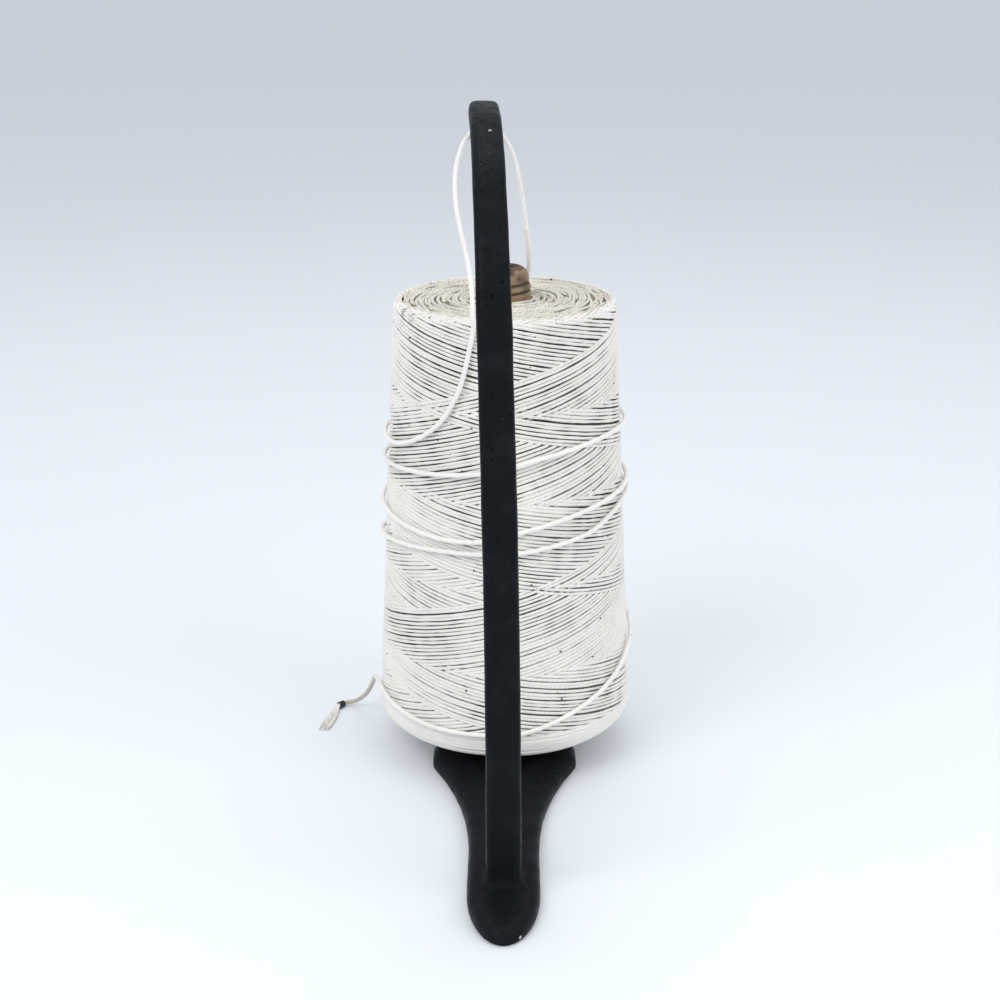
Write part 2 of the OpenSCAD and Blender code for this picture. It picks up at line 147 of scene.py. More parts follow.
# Turns, thread radius and length of the binding, and points on each turn
BIND_TURNS = 8
BIND_R = 0.25
BIND_L = 3.4
BIND_POINTS = 16
# Radius, seed and least height of the frayed fibres, share of the end that they reach, and their fan's
# half width at its start and end
FIBRE_R = 0.14
FIBRE_SEED = 9
FIBRE_LEAST_Z = 0.16
FIBRE_REACH = (0.72, 1.0)
FAN_HALF = (0.75, 2.6)

# Colours that the panel leaves alone
SPECK_TONE = (0.10, 0.09, 0.08)
SMEAR_TONE = (0.06, 0.055, 0.05)
GREYED_TONE = (0.52, 0.475, 0.42)
DUST_TONE = (0.05, 0.05, 0.055)
# Tone of the painted highlight on the arm's crest and of the bare-iron chip on the lobe's rim
GLINT_AND_IRON_TONE = (0.45, 0.45, 0.46)
THREAD_TONE = (0.015, 0.015, 0.017)
FUZZ_TONE = (0.05, 0.048, 0.046)
STEEL_TONES = {"spindle": (0.42, 0.42, 0.43), "spindle_screw": (0.5, 0.49, 0.46)}
SKY_TONE = (0.86, 0.89, 0.93)

# Camera and lamps, in metres and degrees: a lamp's name, place, size and the value that sets its power
CAMERA_PLACE = (0.002, -0.7256, 0.371)
CAMERA_DOWN = 19.08
CAMERA_LEFT = 0.34
LENS = 59.4
SENSOR = 36
LAMPS = [
    ("key", (-0.75, -0.9, 1.25), 0.9, "key"),
    ("fill", (0.95, -0.6, 0.75), 0.9, "fill"),
    ("top", (0.1, 0.35, 1.5), 1.0, "fill"),
]
LAMP_AIM = (0, -0.05, 0.14)
SKY_STRENGTH = 0.85
FLOOR_HALF = 60

# Bright spots in the paint, by place and radius: a painted highlight on the arm's crest, and a chip of bare
# iron on the lobe's rim
GLINT_AND_CHIP = [((-5.7, -80.1, 298.1), 0.8), ((6.9, -177.4, 2.1), 1.0)]
# Dark smears on the cone's rim: place and radius
SMEARS = [((-37.0, 30.6, 215.0), 5.5), ((-42.5, -22.0, 213.8), 4.5), ((-38.5, -28.0, 213.2), 5.0)]

# The free twine's route, as in the solids: share of the height to the eye, offsets to the right and rear
RISE_ROUTE = [
    (0.009, -1.2, 9.6), (0.075, 0.6, 9), (0.18, 3.6, 7.2), (0.3, 5.5, 5), (0.432, 6.8, 3.2),
    (0.577, 8, 1.8), (0.75, 8.9, 0.5), (0.843, 8.4, 0), (0.893, 7.3, 0), (0.93, 5.9, 0),
    (0.957, 4, 0), (0.97, 1.6, 0), (0.973, -1, 0),
]
FALL_ROUTE = [
    (0.973, -2.8, 1.7), (0.961, -5.2, 2.5), (0.93, -7.1, 2.8), (0.89, -9.2, 3.1), (0.798, -11.2, 3.1),
    (0.698, -11.4, 2.2), (0.58, -10, 1.2), (0.47, -7.3, -1.3), (0.37, -4.5, -4.3),
    (0.271, -2.2, -6.8), (0.172, -0.9, -7.3), (0.079, -0.3, -5.2),
]
# Slack turns: degrees from the front, clockwise seen from above, and share of the cone's height
TURN_ROUTE = [
    (15, 0.974), (20, 0.869), (32, 0.77), (56, 0.706), (80, 0.696), (130, 0.7), (180, 0.711),
    (230, 0.721), (273, 0.726), (307, 0.726), (341, 0.706), (373, 0.671), (437, 0.642), (490, 0.627),
    (540, 0.616), (590, 0.601), (643, 0.587), (663, 0.582), (688, 0.567), (713, 0.543), (730, 0.522),
    (746, 0.517), (766, 0.522), (806, 0.538), (850, 0.547), (900, 0.552), (950, 0.557), (1003, 0.562),
    (1023, 0.543), (1037, 0.522), (1057, 0.507), (1073, 0.497), (1091, 0.493), (1115, 0.488),
    (1152, 0.468), (1180, 0.448), (1220, 0.398), (1260, 0.343), (1300, 0.285), (1340, 0.23),
    (1367, 0.19), (1386, 0.15), (1408, 0.111), (1432, 0.076), (1448, 0.071), (1473, 0.071),
    (1495, 0.081), (1512, 0.09),
]
SLACK_STEP = 5
# From the slack turns' end to the counter: offsets to the right and rear, and height
TAIL_ROUTE = [
    (-4.6, 20.8, 29), (-7.1, 29.8, 21), (-11.1, 38.8, 11), (-17.1, 45.8, 3.6), (-22.1, 47.3, 1.9),
    (-25.6, 43.8, 1.9),
]
TUFT_ROUTE = [(-26.9, 39.8, 1.6), (-28.3, 32.8, 1.3), (-29.7, 25.8, 1.2), (-31.1, 18.8, 1.2)]
# A thick spot in the rising twine: its place along it, half length, and height in radii
SLUB_AT = 30.0
SLUB_HALF = 1.3
SLUB_H = 0.3


class CastingProps(bpy.types.PropertyGroup):
    paint: bpy.props.FloatVectorProperty(
        name="Paint", description="Colour of the black enamel", subtype="COLOR", size=3,
        default=(0.0124, 0.0142, 0.0176), min=0, max=1)
    voxel: bpy.props.FloatProperty(
        name="Mesh size", description="Edge length of the casting's mesh", subtype="DISTANCE",
        default=0.00085, min=0.0005, max=0.002, precision=5)
    smooth: bpy.props.IntProperty(
        name="Smoothing", description="Passes that ease the facets", default=8, min=0, max=40)
    lump: bpy.props.FloatProperty(
        name="Lumps", description="Height of the casting's waviness", subtype="DISTANCE",
        default=0.00016, min=0, max=0.0005, precision=5)


class CoreProps(bpy.types.PropertyGroup):
    paper: bpy.props.FloatVectorProperty(
        name="Paper", description="Colour of the core's clean paper", subtype="COLOR", size=3,
        default=(0.37, 0.24, 0.138), min=0, max=1)


class ConeProps(bpy.types.PropertyGroup):
    cotton: bpy.props.FloatVectorProperty(
        name="Cotton", description="Colour of the wound twine", subtype="COLOR", size=3,
        default=(0.88, 0.855, 0.81), min=0, max=1)
    pitch_up: bpy.props.FloatProperty(
        name="Pitch up", description="Height that a rising strand climbs in one turn",
        subtype="DISTANCE", default=0.095, min=0.06, max=0.14, precision=4)
    pitch_down: bpy.props.FloatProperty(
        name="Pitch down", description="Height that a falling strand drops in one turn",
        subtype="DISTANCE", default=0.068, min=0.06, max=0.14, precision=4)
    spacing: bpy.props.FloatProperty(
        name="Spacing", description="Height between two strands", subtype="DISTANCE",
        default=0.00178, min=0.001, max=0.004, precision=5)
    strand_d: bpy.props.FloatProperty(
        name="Strand", description="Thickness of a strand", subtype="DISTANCE",
        default=0.00142, min=0.001, max=0.003, precision=5)
    lift: bpy.props.FloatProperty(
        name="Lift", description="Height of the pattern's lowest row of tips over the foot",
        subtype="DISTANCE", default=0.0023, min=-0.06, max=0.06, precision=4)
    turn: bpy.props.FloatProperty(
        name="Turn", description="Share of a turn that the pattern is moved round", subtype="FACTOR",
        default=0.195, min=0, max=1)
    step: bpy.props.FloatProperty(
        name="Step", description="Length of a strand's segments", subtype="DISTANCE",
        default=0.003, min=0.001, max=0.006, precision=4)
    seed: bpy.props.IntProperty(name="Seed", description="Start of the strands' unevenness", default=4)


class TwineProps(bpy.types.PropertyGroup):
    cotton: bpy.props.FloatVectorProperty(
        name="Cotton", description="Colour of the free twine", subtype="COLOR", size=3,
        default=(0.88, 0.86, 0.82), min=0, max=1)
    diameter: bpy.props.FloatProperty(
        name="Diameter", description="Thickness of the free twine", subtype="DISTANCE",
        default=0.0022, min=0.001, max=0.003, precision=4)
    lay: bpy.props.FloatProperty(
        name="Lay", description="Length of one twist of the plies", subtype="DISTANCE",
        default=0.0075, min=0.003, max=0.02, precision=4)
    fibres: bpy.props.IntProperty(
        name="Fibres", description="Fibres in the frayed end", default=130, min=10, max=200)


class StageProps(bpy.types.PropertyGroup):
    floor_tone: bpy.props.FloatVectorProperty(
        name="Floor", description="Colour of the counter", subtype="COLOR", size=3,
        default=(0.80, 0.83, 0.87), min=0, max=1)
    key: bpy.props.FloatProperty(
        name="Key light", description="Power of the main light", subtype="POWER",
        default=9, min=0, max=200)
    fill: bpy.props.FloatProperty(
        name="Fill light", description="Power of the fill light and of the top light", subtype="POWER",
        default=4, min=0, max=200)


# Shapes


def mm(length):
    """A length of the panel, in mm."""
    return length / MM


def between(a, b, share):
    return a + (b - a) * share


def smooth_step(x):
    t = min(1.0, max(0.0, x))
    return t * t * (3 - 2 * t)


def cone_r(z):
    return between(CONE_FOOT_R, CONE_TOP_R, (z - CONE_Z) / CONE_H)


def core_r(z):
    return between(CORE_FOOT_R, CORE_NOSE_R, (z - CORE_Z) / (CORE_H - NOSE_H))


def polar(r, angle, z):
    """Point at an angle from the front, growing to the right."""
    return Vector((r * math.sin(angle), -r * math.cos(angle), z))


def curve_points(points, steps):
    """Smooth curve through the points, with that many steps between two of them."""
    out = []
    last = len(points) - 1
    for i in range(last):
        a, b = points[max(i - 1, 0)], points[i]
        c, d = points[i + 1], points[min(i + 2, last)]
        for k in range(steps):
            t = k / steps
            square_part = (2 * a - 5 * b + 4 * c - d) * t * t
            cube_part = (3 * b - a - 3 * c + d) * t ** 3
            out.append(0.5 * (2 * b + (c - a) * t + square_part + cube_part))
    out.append(points[last].copy())
    return out


def slack_share(angle):
    """Share of the cone's height at which the slack turns lie, by a smooth curve through their points."""
    last = len(TURN_ROUTE) - 1
    i = max(k for k in range(last) if TURN_ROUTE[k][0] <= angle)
    a, b = TURN_ROUTE[max(i - 1, 0)], TURN_ROUTE[i]
    c, d = TURN_ROUTE[i + 1], TURN_ROUTE[min(i + 2, last)]
    span = c[0] - b[0]
    t = (angle - b[0]) / span
    rise_b = (c[1] - a[1]) / (c[0] - a[0]) * span
    rise_c = (d[1] - b[1]) / (d[0] - b[0]) * span
    cube_part = 2 * b[1] - 2 * c[1] + rise_b + rise_c
    square_part = 3 * c[1] - 3 * b[1] - 2 * rise_b - rise_c
    return cube_part * t ** 3 + square_part * t * t + rise_b * t + b[1]


def slack_point(angle):
    z = CONE_Z + CONE_H * slack_share(angle)
    return polar(cone_r(z) + SLACK_OUT, -math.radians(angle), z)


def free_route():
    """The free twine's points in mm, and those of its frayed end."""
    slack_from, slack_to = TURN_ROUTE[0][0], TURN_ROUTE[-1][0]
    start, end = slack_point(slack_from), slack_point(slack_to)
    nose = Vector((CORE_NOSE_R, 0, CONE_TOP_Z))
    eye = Vector(EYE)
    lead = [nose.lerp(eye, s) + Vector((x, y, 0)) for s, x, y in RISE_ROUTE]
    lead += [start.lerp(eye, s) + Vector((x, y, 0)) for s, x, y in FALL_ROUTE]
    slack = [slack_point(a) for a in [*range(slack_from, slack_to, SLACK_STEP), slack_to]]
    tail = [Vector((end.x + x, end.y + y, z)) for x, y, z in TAIL_ROUTE]
    tuft = [Vector((end.x + x, end.y + y, z)) for x, y, z in TUFT_ROUTE]
    return [*lead, *slack, *tail], tuft


def even_path(points, step):
    """Points at even steps along a polyline."""
    out = [points[0].copy()]
    carried = 0.0
    for a, b in zip(points, points[1:]):
        length = (b - a).length
        while carried + length >= step:
            share = (step - carried) / length
            a = a.lerp(b, share)
            length = (b - a).length
            carried = 0.0
            out.append(a.copy())
        carried += length
    if (out[-1] - points[-1]).length > 0.2 * step:
        out.append(points[-1].copy())
    return out


def path_length(points):
    return sum((b - a).length for a, b in zip(points, points[1:]))


def add_tube(bm, points, radius, sides, shape=None, closed=False):
    """Adds a tube along points in mm. shape scales its radius by angle and by length along it."""
    uv = bm.loops.layers.uv.verify()
    n = len(points)
    rings = []
    normal = None
    run = 0.0
    runs = []
    for i, p in enumerate(points):
        if closed:
            ahead = points[(i + 1) % n] - points[i - 1]
        else:
            ahead = points[min(i + 1, n - 1)] - points[max(i - 1, 0)]
        ahead.normalize()
        if normal is None:
            normal = ahead.orthogonal()
        normal = (normal - ahead * normal.dot(ahead)).normalized()
        side = ahead.cross(normal)
        if i:
            run += (p - points[i - 1]).length
        runs.append(run)
        r = radius(i) if callable(radius) else radius
        ring = []
        for k in range(sides):
            a = TAU * k / sides
            reach = r * shape(a, run) if shape else r
            ring.append(bm.verts.new((p + (normal * math.cos(a) + side * math.sin(a)) * reach) * MM))
        rings.append(ring)
    pairs = [(i, i + 1) for i in range(n - 1)]
    if closed:
        pairs.append((n - 1, 0))
    for i, j in pairs:
        for k in range(sides):
            m = (k + 1) % sides
            face = bm.faces.new((rings[i][k], rings[i][m], rings[j][m], rings[j][k]))
            face.smooth = True
            far = runs[j] if j > i else runs[i] + (points[j] - points[i]).length
            spots = ((runs[i], k), (runs[i], k + 1), (far, k + 1), (far, k))
            for loop, (u, v) in zip(face.loops, spots):
                loop[uv].uv = (u, v / sides)
    if not closed:
        bm.faces.new(list(reversed(rings[0])))
        bm.faces.new(rings[-1])


def lathe(bm, profile):
    """Spins a closed profile of (radius, height) in mm round the axis."""
    verts = [bm.verts.new(polar(r, 0, z) * MM) for r, z in profile]
    edges = [bm.edges.new((verts[i - 1], verts[i])) for i in range(len(verts))]
    bmesh.ops.spin(
        bm, geom=[*verts, *edges], axis=(0, 0, 1), angle=TAU, steps=ROUND_STEPS, use_merge=True)
    for face in bm.faces:
        face.smooth = True


def finish_piece(bm, name, material, body, slot, *nodes):
    """Makes a piece of the mesh, with its material and its body, and hides the nodes it stands for. Its slot
    is not used.
    """
    bmesh.ops.recalc_face_normals(bm, faces=bm.faces)
    mesh = bpy.data.meshes.new(name)
    bm.to_mesh(mesh)
    bm.free()
    mesh.materials.append(material)
    piece = bpy.data.objects.new(name, mesh)
    bpy.context.scene.collection.objects.link(piece)
    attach(piece, body)
    if nodes:
        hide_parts(*nodes)
    return piece


# Materials


def node_group(name, inputs, outputs):
    group = bpy.data.node_groups.new(name, "ShaderNodeTree")
    for label, value in inputs:
        socket = group.interface.new_socket(label, in_out="INPUT", socket_type="NodeSocketFloat")
        socket.default_value = value
    for label in outputs:
        group.interface.new_socket(label, in_out="OUTPUT", socket_type="NodeSocketFloat")
    return group, group.nodes.new("NodeGroupInput"), group.nodes.new("NodeGroupOutput")


def math_node(tree, operation, a, b=None):
    node = tree.nodes.new("ShaderNodeMath")
    node.operation = operation
    for socket, value in zip(node.inputs, (a, b)):
        if value is None:
            continue
        if isinstance(value, (int, float)):
            socket.default_value = value
        else:
            tree.links.new(value, socket)
    return node.outputs[0]


def map_range(tree, value, low, high, to_low=0.0, to_high=1.0):
    node = tree.nodes.new("ShaderNodeMapRange")
    node.interpolation_type = "SMOOTHSTEP"
    node.inputs["From Min"].default_value = low
    node.inputs["From Max"].default_value = high
    node.inputs["To Min"].default_value = to_low
    node.inputs["To Max"].default_value = to_high
    tree.links.new(value, node.inputs["Value"])
    return node.outputs["Result"]


def place_on(tree):
    """The piece's own coordinates, in metres."""
    return tree.nodes.new("ShaderNodeTexCoord").outputs["Object"]


def split(tree, vector):
    parts = tree.nodes.new("ShaderNodeSeparateXYZ")
    tree.links.new(vector, parts.inputs["Vector"])
    return parts.outputs


def split_uv(tree):
    """The length along a twine in mm as X, and the share of its round as Y."""
    return split(tree, tree.nodes.new("ShaderNodeUVMap").outputs["UV"])


def noise_node(tree, scale, detail=2.0, roughness=0.5, stretch=None):
    source = place_on(tree)
    if stretch:
        mapping = tree.nodes.new("ShaderNodeMapping")
        mapping.inputs["Scale"].default_value = stretch
        tree.links.new(source, mapping.inputs["Vector"])
        source = mapping.outputs["Vector"]
    node = tree.nodes.new("ShaderNodeTexNoise")
    node.inputs["Scale"].default_value = scale
    node.inputs["Detail"].default_value = detail
    node.inputs["Roughness"].default_value = roughness
    tree.links.new(source, node.inputs["Vector"])
    return node.outputs["Fac"]


def mix_colour(tree, mask, a, b):
    node = tree.nodes.new("ShaderNodeMix")
    node.data_type = "RGBA"
    tree.links.new(mask, node.inputs["Factor"])
    # The sockets A and B of a colour mix, which share their names with those of other types
    for index, value in ((6, a), (7, b)):
        if isinstance(value, tuple):
            node.inputs[index].default_value = (*value, 1)
        else:
            tree.links.new(value, node.inputs[index])
    return node.outputs[2]


def shade(tone, factor):
    return tuple(factor * value for value in tone)


def group_node(tree, group, **values):
    node = tree.nodes.new("ShaderNodeGroup")
    node.node_tree = group
    for label, value in values.items():
        node.inputs[label].default_value = value
    return node


def new_material(name):
    material = bpy.data.materials.new(name)
    material.use_nodes = True
    tree = material.node_tree
    return material, tree, tree.nodes["Principled BSDF"]


def bump(tree, shader, height, depth):
    """Feeds the shader's normal from a height, over a depth in mm."""
    node = tree.nodes.new("ShaderNodeBump")
    node.inputs["Distance"].default_value = depth * MM
    node.inputs["Strength"].default_value = 1.0
    tree.links.new(height, node.inputs["Height"])
    tree.links.new(node.outputs["Normal"], shader.inputs["Normal"])


def twist_group():
    """Height of a twine's plies, from the length along it and the share of its round."""
    name = "Twine plies"
    if name in bpy.data.node_groups:
        return bpy.data.node_groups[name]
    group, given, made = node_group(name, [("Lay", WOUND_LAY), ("Plies", PLIES)], ["Height"])
    parts = split_uv(group)
    along = math_node(group, "DIVIDE", parts["X"], given.outputs["Lay"])
    turn = math_node(group, "ADD", along, parts["Y"])
    phase = math_node(group, "MULTIPLY", turn, given.outputs["Plies"])
    wave = math_node(group, "SINE", math_node(group, "MULTIPLY", phase, math.pi))
    group.links.new(math_node(group, "ABSOLUTE", wave), made.inputs["Height"])
    return group


def soil_group():
    """Broad and fine dirt, as a mask."""
    name = "Soil"
    if name in bpy.data.node_groups:
        return bpy.data.node_groups[name]
    group, given, made = node_group(name, [("Amount", 0.5)], ["Mask"])
    broad = map_range(group, noise_node(group, scale=38, detail=3, roughness=0.6), low=0.42, high=0.72)
    fine = map_range(group, noise_node(group, scale=420), low=0.5, high=0.75)
    broad_part = math_node(group, "MULTIPLY", broad, 0.6)
    fine_part = math_node(group, "MULTIPLY", fine, 0.4)
    both = math_node(group, "ADD", broad_part, fine_part)
    group.links.new(math_node(group, "MULTIPLY", both, given.outputs["Amount"]), made.inputs["Mask"])
    return group


def speck_group():
    """Small scattered spots, as a mask."""
    name = "Specks"
    if name in bpy.data.node_groups:
        return bpy.data.node_groups[name]
    group, given, made = node_group(name, [("Scale", 150.0), ("Size", 0.08)], ["Mask"])
    cells = group.nodes.new("ShaderNodeTexVoronoi")
    group.links.new(place_on(group), cells.inputs["Vector"])
    group.links.new(given.outputs["Scale"], cells.inputs["Scale"])
    spots = math_node(group, "LESS_THAN", cells.outputs["Distance"], given.outputs["Size"])
    group.links.new(spots, made.inputs["Mask"])
    return group


def spot_mask(tree, place, size, full):
    """Mask of a round spot, by its place and radius in mm and the share of the radius at full strength."""
    away = tree.nodes.new("ShaderNodeVectorMath")
    away.operation = "DISTANCE"
    away.inputs[1].default_value = [v * MM for v in place]
    tree.links.new(place_on(tree), away.inputs[0])
    return map_range(tree, away.outputs["Value"], full * size * MM, size * MM, to_low=1.0, to_high=0.0)


def smear_group():
    """Broken dark smears on the cone's rim, as a mask."""
    name = "Rim smears"
    if name in bpy.data.node_groups:
        return bpy.data.node_groups[name]
    group, given, made = node_group(name, [("Amount", 1.0)], ["Mask"])
    streaks = noise_node(group, scale=520, detail=4, roughness=0.65, stretch=(0.5, 0.5, 1.6))
    broken = map_range(group, streaks, low=0.44, high=0.60)
    clean = 1.0
    for place, size in SMEARS:
        smear = math_node(group, "MULTIPLY", spot_mask(group, place, size, full=0.0), broken)
        clean = math_node(group, "MULTIPLY", clean, math_node(group, "SUBTRACT", 1.0, smear))
    mask = math_node(group, "SUBTRACT", 1.0, clean)
    group.links.new(math_node(group, "MULTIPLY", mask, given.outputs["Amount"]), made.inputs["Mask"])
    return group


def cotton(name, tone, soiled, amount, depth, lay=WOUND_LAY, greyed_from=None, smeared=False):
    """Cotton twine: pale, rough, with its plies as a bump, dirt in patches, smears and a greyer end."""
    material, tree, shader = new_material(name)
    soil = group_node(tree, soil_group(), Amount=amount)
    specks = group_node(tree, speck_group(), Scale=95.0, Size=0.055)
    plies = group_node(tree, twist_group(), Lay=lay)
    colour = mix_colour(tree, soil.outputs["Mask"], tone, soiled)
    # The twine turns greyer over its last millimetres
    if greyed_from:
        greyed = map_range(tree, split_uv(tree)["X"], greyed_from, greyed_from + GREYED_FADE)
        colour = mix_colour(tree, greyed, colour, GREYED_TONE)
    colour = mix_colour(tree, specks.outputs["Mask"], colour, SPECK_TONE)
    if smeared:
        smears = group_node(tree, smear_group(), Amount=1.0)
        colour = mix_colour(tree, smears.outputs["Mask"], colour, SMEAR_TONE)
    tree.links.new(colour, shader.inputs["Base Color"])
    shader.inputs["Roughness"].default_value = 0.92
    shader.inputs["Specular IOR Level"].default_value = 0.15
    shader.inputs["Sheen Weight"].default_value = 0.15
    fuzz = math_node(tree, "MULTIPLY", noise_node(tree, scale=2600), 0.35)
    bump(tree, shader, math_node(tree, "ADD", plies.outputs["Height"], fuzz), depth)
    return material


def black_paint(tone):
    """Old black enamel over rough iron: pits in crowds, more of them high up, dust, a bright chip and a
    painted highlight.
    """
    material, tree, shader = new_material("black_enamel")
    spots = group_node(tree, speck_group(), Scale=230.0, Size=0.15)
    high = map_range(tree, split(tree, place_on(tree))["Z"], low=0.05, high=0.24, to_low=0.1)
    crowds = map_range(tree, noise_node(tree, scale=55), low=0.44, high=0.56, to_low=0.15)
    pits = math_node(tree, "MULTIPLY", spots.outputs["Mask"], math_node(tree, "MULTIPLY", high, crowds))
    grain = map_range(tree, noise_node(tree, scale=520, detail=4, roughness=0.6), low=0.56, high=0.70)
    waves = noise_node(tree, scale=130, detail=3, roughness=0.55)
    dust = map_range(tree, noise_node(tree, scale=60, detail=4, roughness=0.65), low=0.45, high=0.75)
    specks = group_node(tree, speck_group(), Scale=120.0, Size=0.035)
    colour = mix_colour(tree, dust, shade(tone, 0.6), tone)
    colour = mix_colour(tree, pits, colour, shade(tone, 0.2))
    colour = mix_colour(tree, specks.outputs["Mask"], colour, DUST_TONE)
    # A painted highlight on the arm's crest, and a chip of bare iron on the lobe's rim
    for place, size in GLINT_AND_CHIP:
        colour = mix_colour(tree, spot_mask(tree, place, size, full=0.6), colour, GLINT_AND_IRON_TONE)
    tree.links.new(colour, shader.inputs["Base Color"])
    gloss = map_range(tree, waves, low=0.3, high=0.7, to_low=0.30, to_high=0.46)
    dull = math_node(tree, "MULTIPLY", pits, 0.4)
    tree.links.new(math_node(tree, "ADD", gloss, dull), shader.inputs["Roughness"])
    shader.inputs["IOR"].default_value = 1.12
    rough = math_node(tree, "ADD", math_node(tree, "MULTIPLY", grain, high), pits)
    swells = math_node(tree, "MULTIPLY", waves, 0.6)
    height = math_node(tree, "SUBTRACT", swells, math_node(tree, "MULTIPLY", rough, 0.5))
    bump(tree, shader, height, depth=0.5)
    return material


def kraft_paper(tone):
    """Brown paper with fibres, stains, and painted shade in the nose's folds, tear and opening."""
    material, tree, shader = new_material("kraft_paper")
    fibres = noise_node(tree, scale=900, detail=3, roughness=0.6, stretch=(1, 1, 0.25))
    stains = map_range(tree, noise_node(tree, scale=90, detail=3, roughness=0.6), low=0.45, high=0.7)
    colour = mix_colour(tree, fibres, shade(tone, 0.59), tone)
    colour = mix_colour(tree, stains, colour, shade(tone, 0.33))
    crease_shade = tree.nodes.new("ShaderNodeAttribute")
    crease_shade.attribute_name = "fold"
    # Painted shade in the nose's folds, tear and opening, from the fold attribute
    colour = mix_colour(tree, crease_shade.outputs["Fac"], colour, shade(tone, 0.07))
    tree.links.new(colour, shader.inputs["Base Color"])
    shader.inputs["Roughness"].default_value = 0.62
    bump(tree, shader, fibres, depth=0.12)
    return material


def turned_steel(name, tone):
    """Steel with fine turning marks under a dull film."""
    material, tree, shader = new_material(name)
    marks = noise_node(tree, scale=300, stretch=(1, 1, 12))
    film = map_range(tree, noise_node(tree, scale=90, detail=3, roughness=0.6), low=0.4, high=0.7)
    tree.links.new(mix_colour(tree, film, tone, shade(tone, 0.55)), shader.inputs["Base Color"])
    gloss = map_range(tree, marks, low=0.3, high=0.7, to_low=0.32, to_high=0.52)
    tree.links.new(gloss, shader.inputs["Roughness"])
    shader.inputs["Metallic"].default_value = 1.0
    bump(tree, shader, marks, depth=0.03)
    return material


def dark_thread():
    """Black thread with a fuzz of lighter fibres."""
    material, tree, shader = new_material("dark_thread")
    fuzz = noise_node(tree, scale=2400, detail=3, roughness=0.6)
    tree.links.new(mix_colour(tree, fuzz, THREAD_TONE, FUZZ_TONE), shader.inputs["Base Color"])
    shader.inputs["Roughness"].default_value = 0.85
    bump(tree, shader, fuzz, depth=0.05)
    return material


# Operators


class OBJECT_OT_string_holder_casting(bpy.types.Operator):
    """Makes the painted casting from a copy of its solid"""

    bl_idname = "object.string_holder_casting"
    bl_label = "Make the casting"

    def execute(self, context):
        props = context.scene.string_holder_casting
        paint = black_paint(tuple(props.paint))
        bm = bmesh.new()
        bm.from_mesh(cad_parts["frame_casting"].data)
        bmesh.ops.remove_doubles(bm, verts=bm.verts, dist=MERGE * MM)
        piece = finish_piece(bm, "casting", paint, "holder", "black_casting", "frame_casting")
        remesh = piece.modifiers.new("even", "REMESH")
        remesh.mode = "VOXEL"
        remesh.voxel_size = props.voxel
        ease = piece.modifiers.new("ease", "SMOOTH")
        ease.factor = 0.5
        ease.iterations = props.smooth
        graph = context.evaluated_depsgraph_get()
        made = bpy.data.meshes.new_from_object(piece.evaluated_get(graph))
        piece.modifiers.clear()
        piece.data = made
        made.materials.clear()
        made.materials.append(paint)
        moved = []
        for vertex in made.vertices:
            p = vertex.co
            lump = noise.noise(p * 45) + 0.5 * noise.noise(p * 120)
            held = smooth_step((p.z - FLAT_FOOT * MM) / MM)
            moved.extend(p + vertex.normal * lump * held * props.lump)
        made.vertices.foreach_set("co", moved)
        made.update()
        made.shade_smooth()
        return {"FINISHED"}


class OBJECT_OT_string_holder_spindle(bpy.types.Operator):
    """Gives the spindle and its screw their steel"""

    bl_idname = "object.string_holder_spindle"
    bl_label = "Finish the spindle"

    def execute(self, context):
        for node, tone in STEEL_TONES.items():
            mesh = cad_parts[node].data
            mesh.materials.clear()
            mesh.materials.append(turned_steel(node, tone))
        return {"FINISHED"}


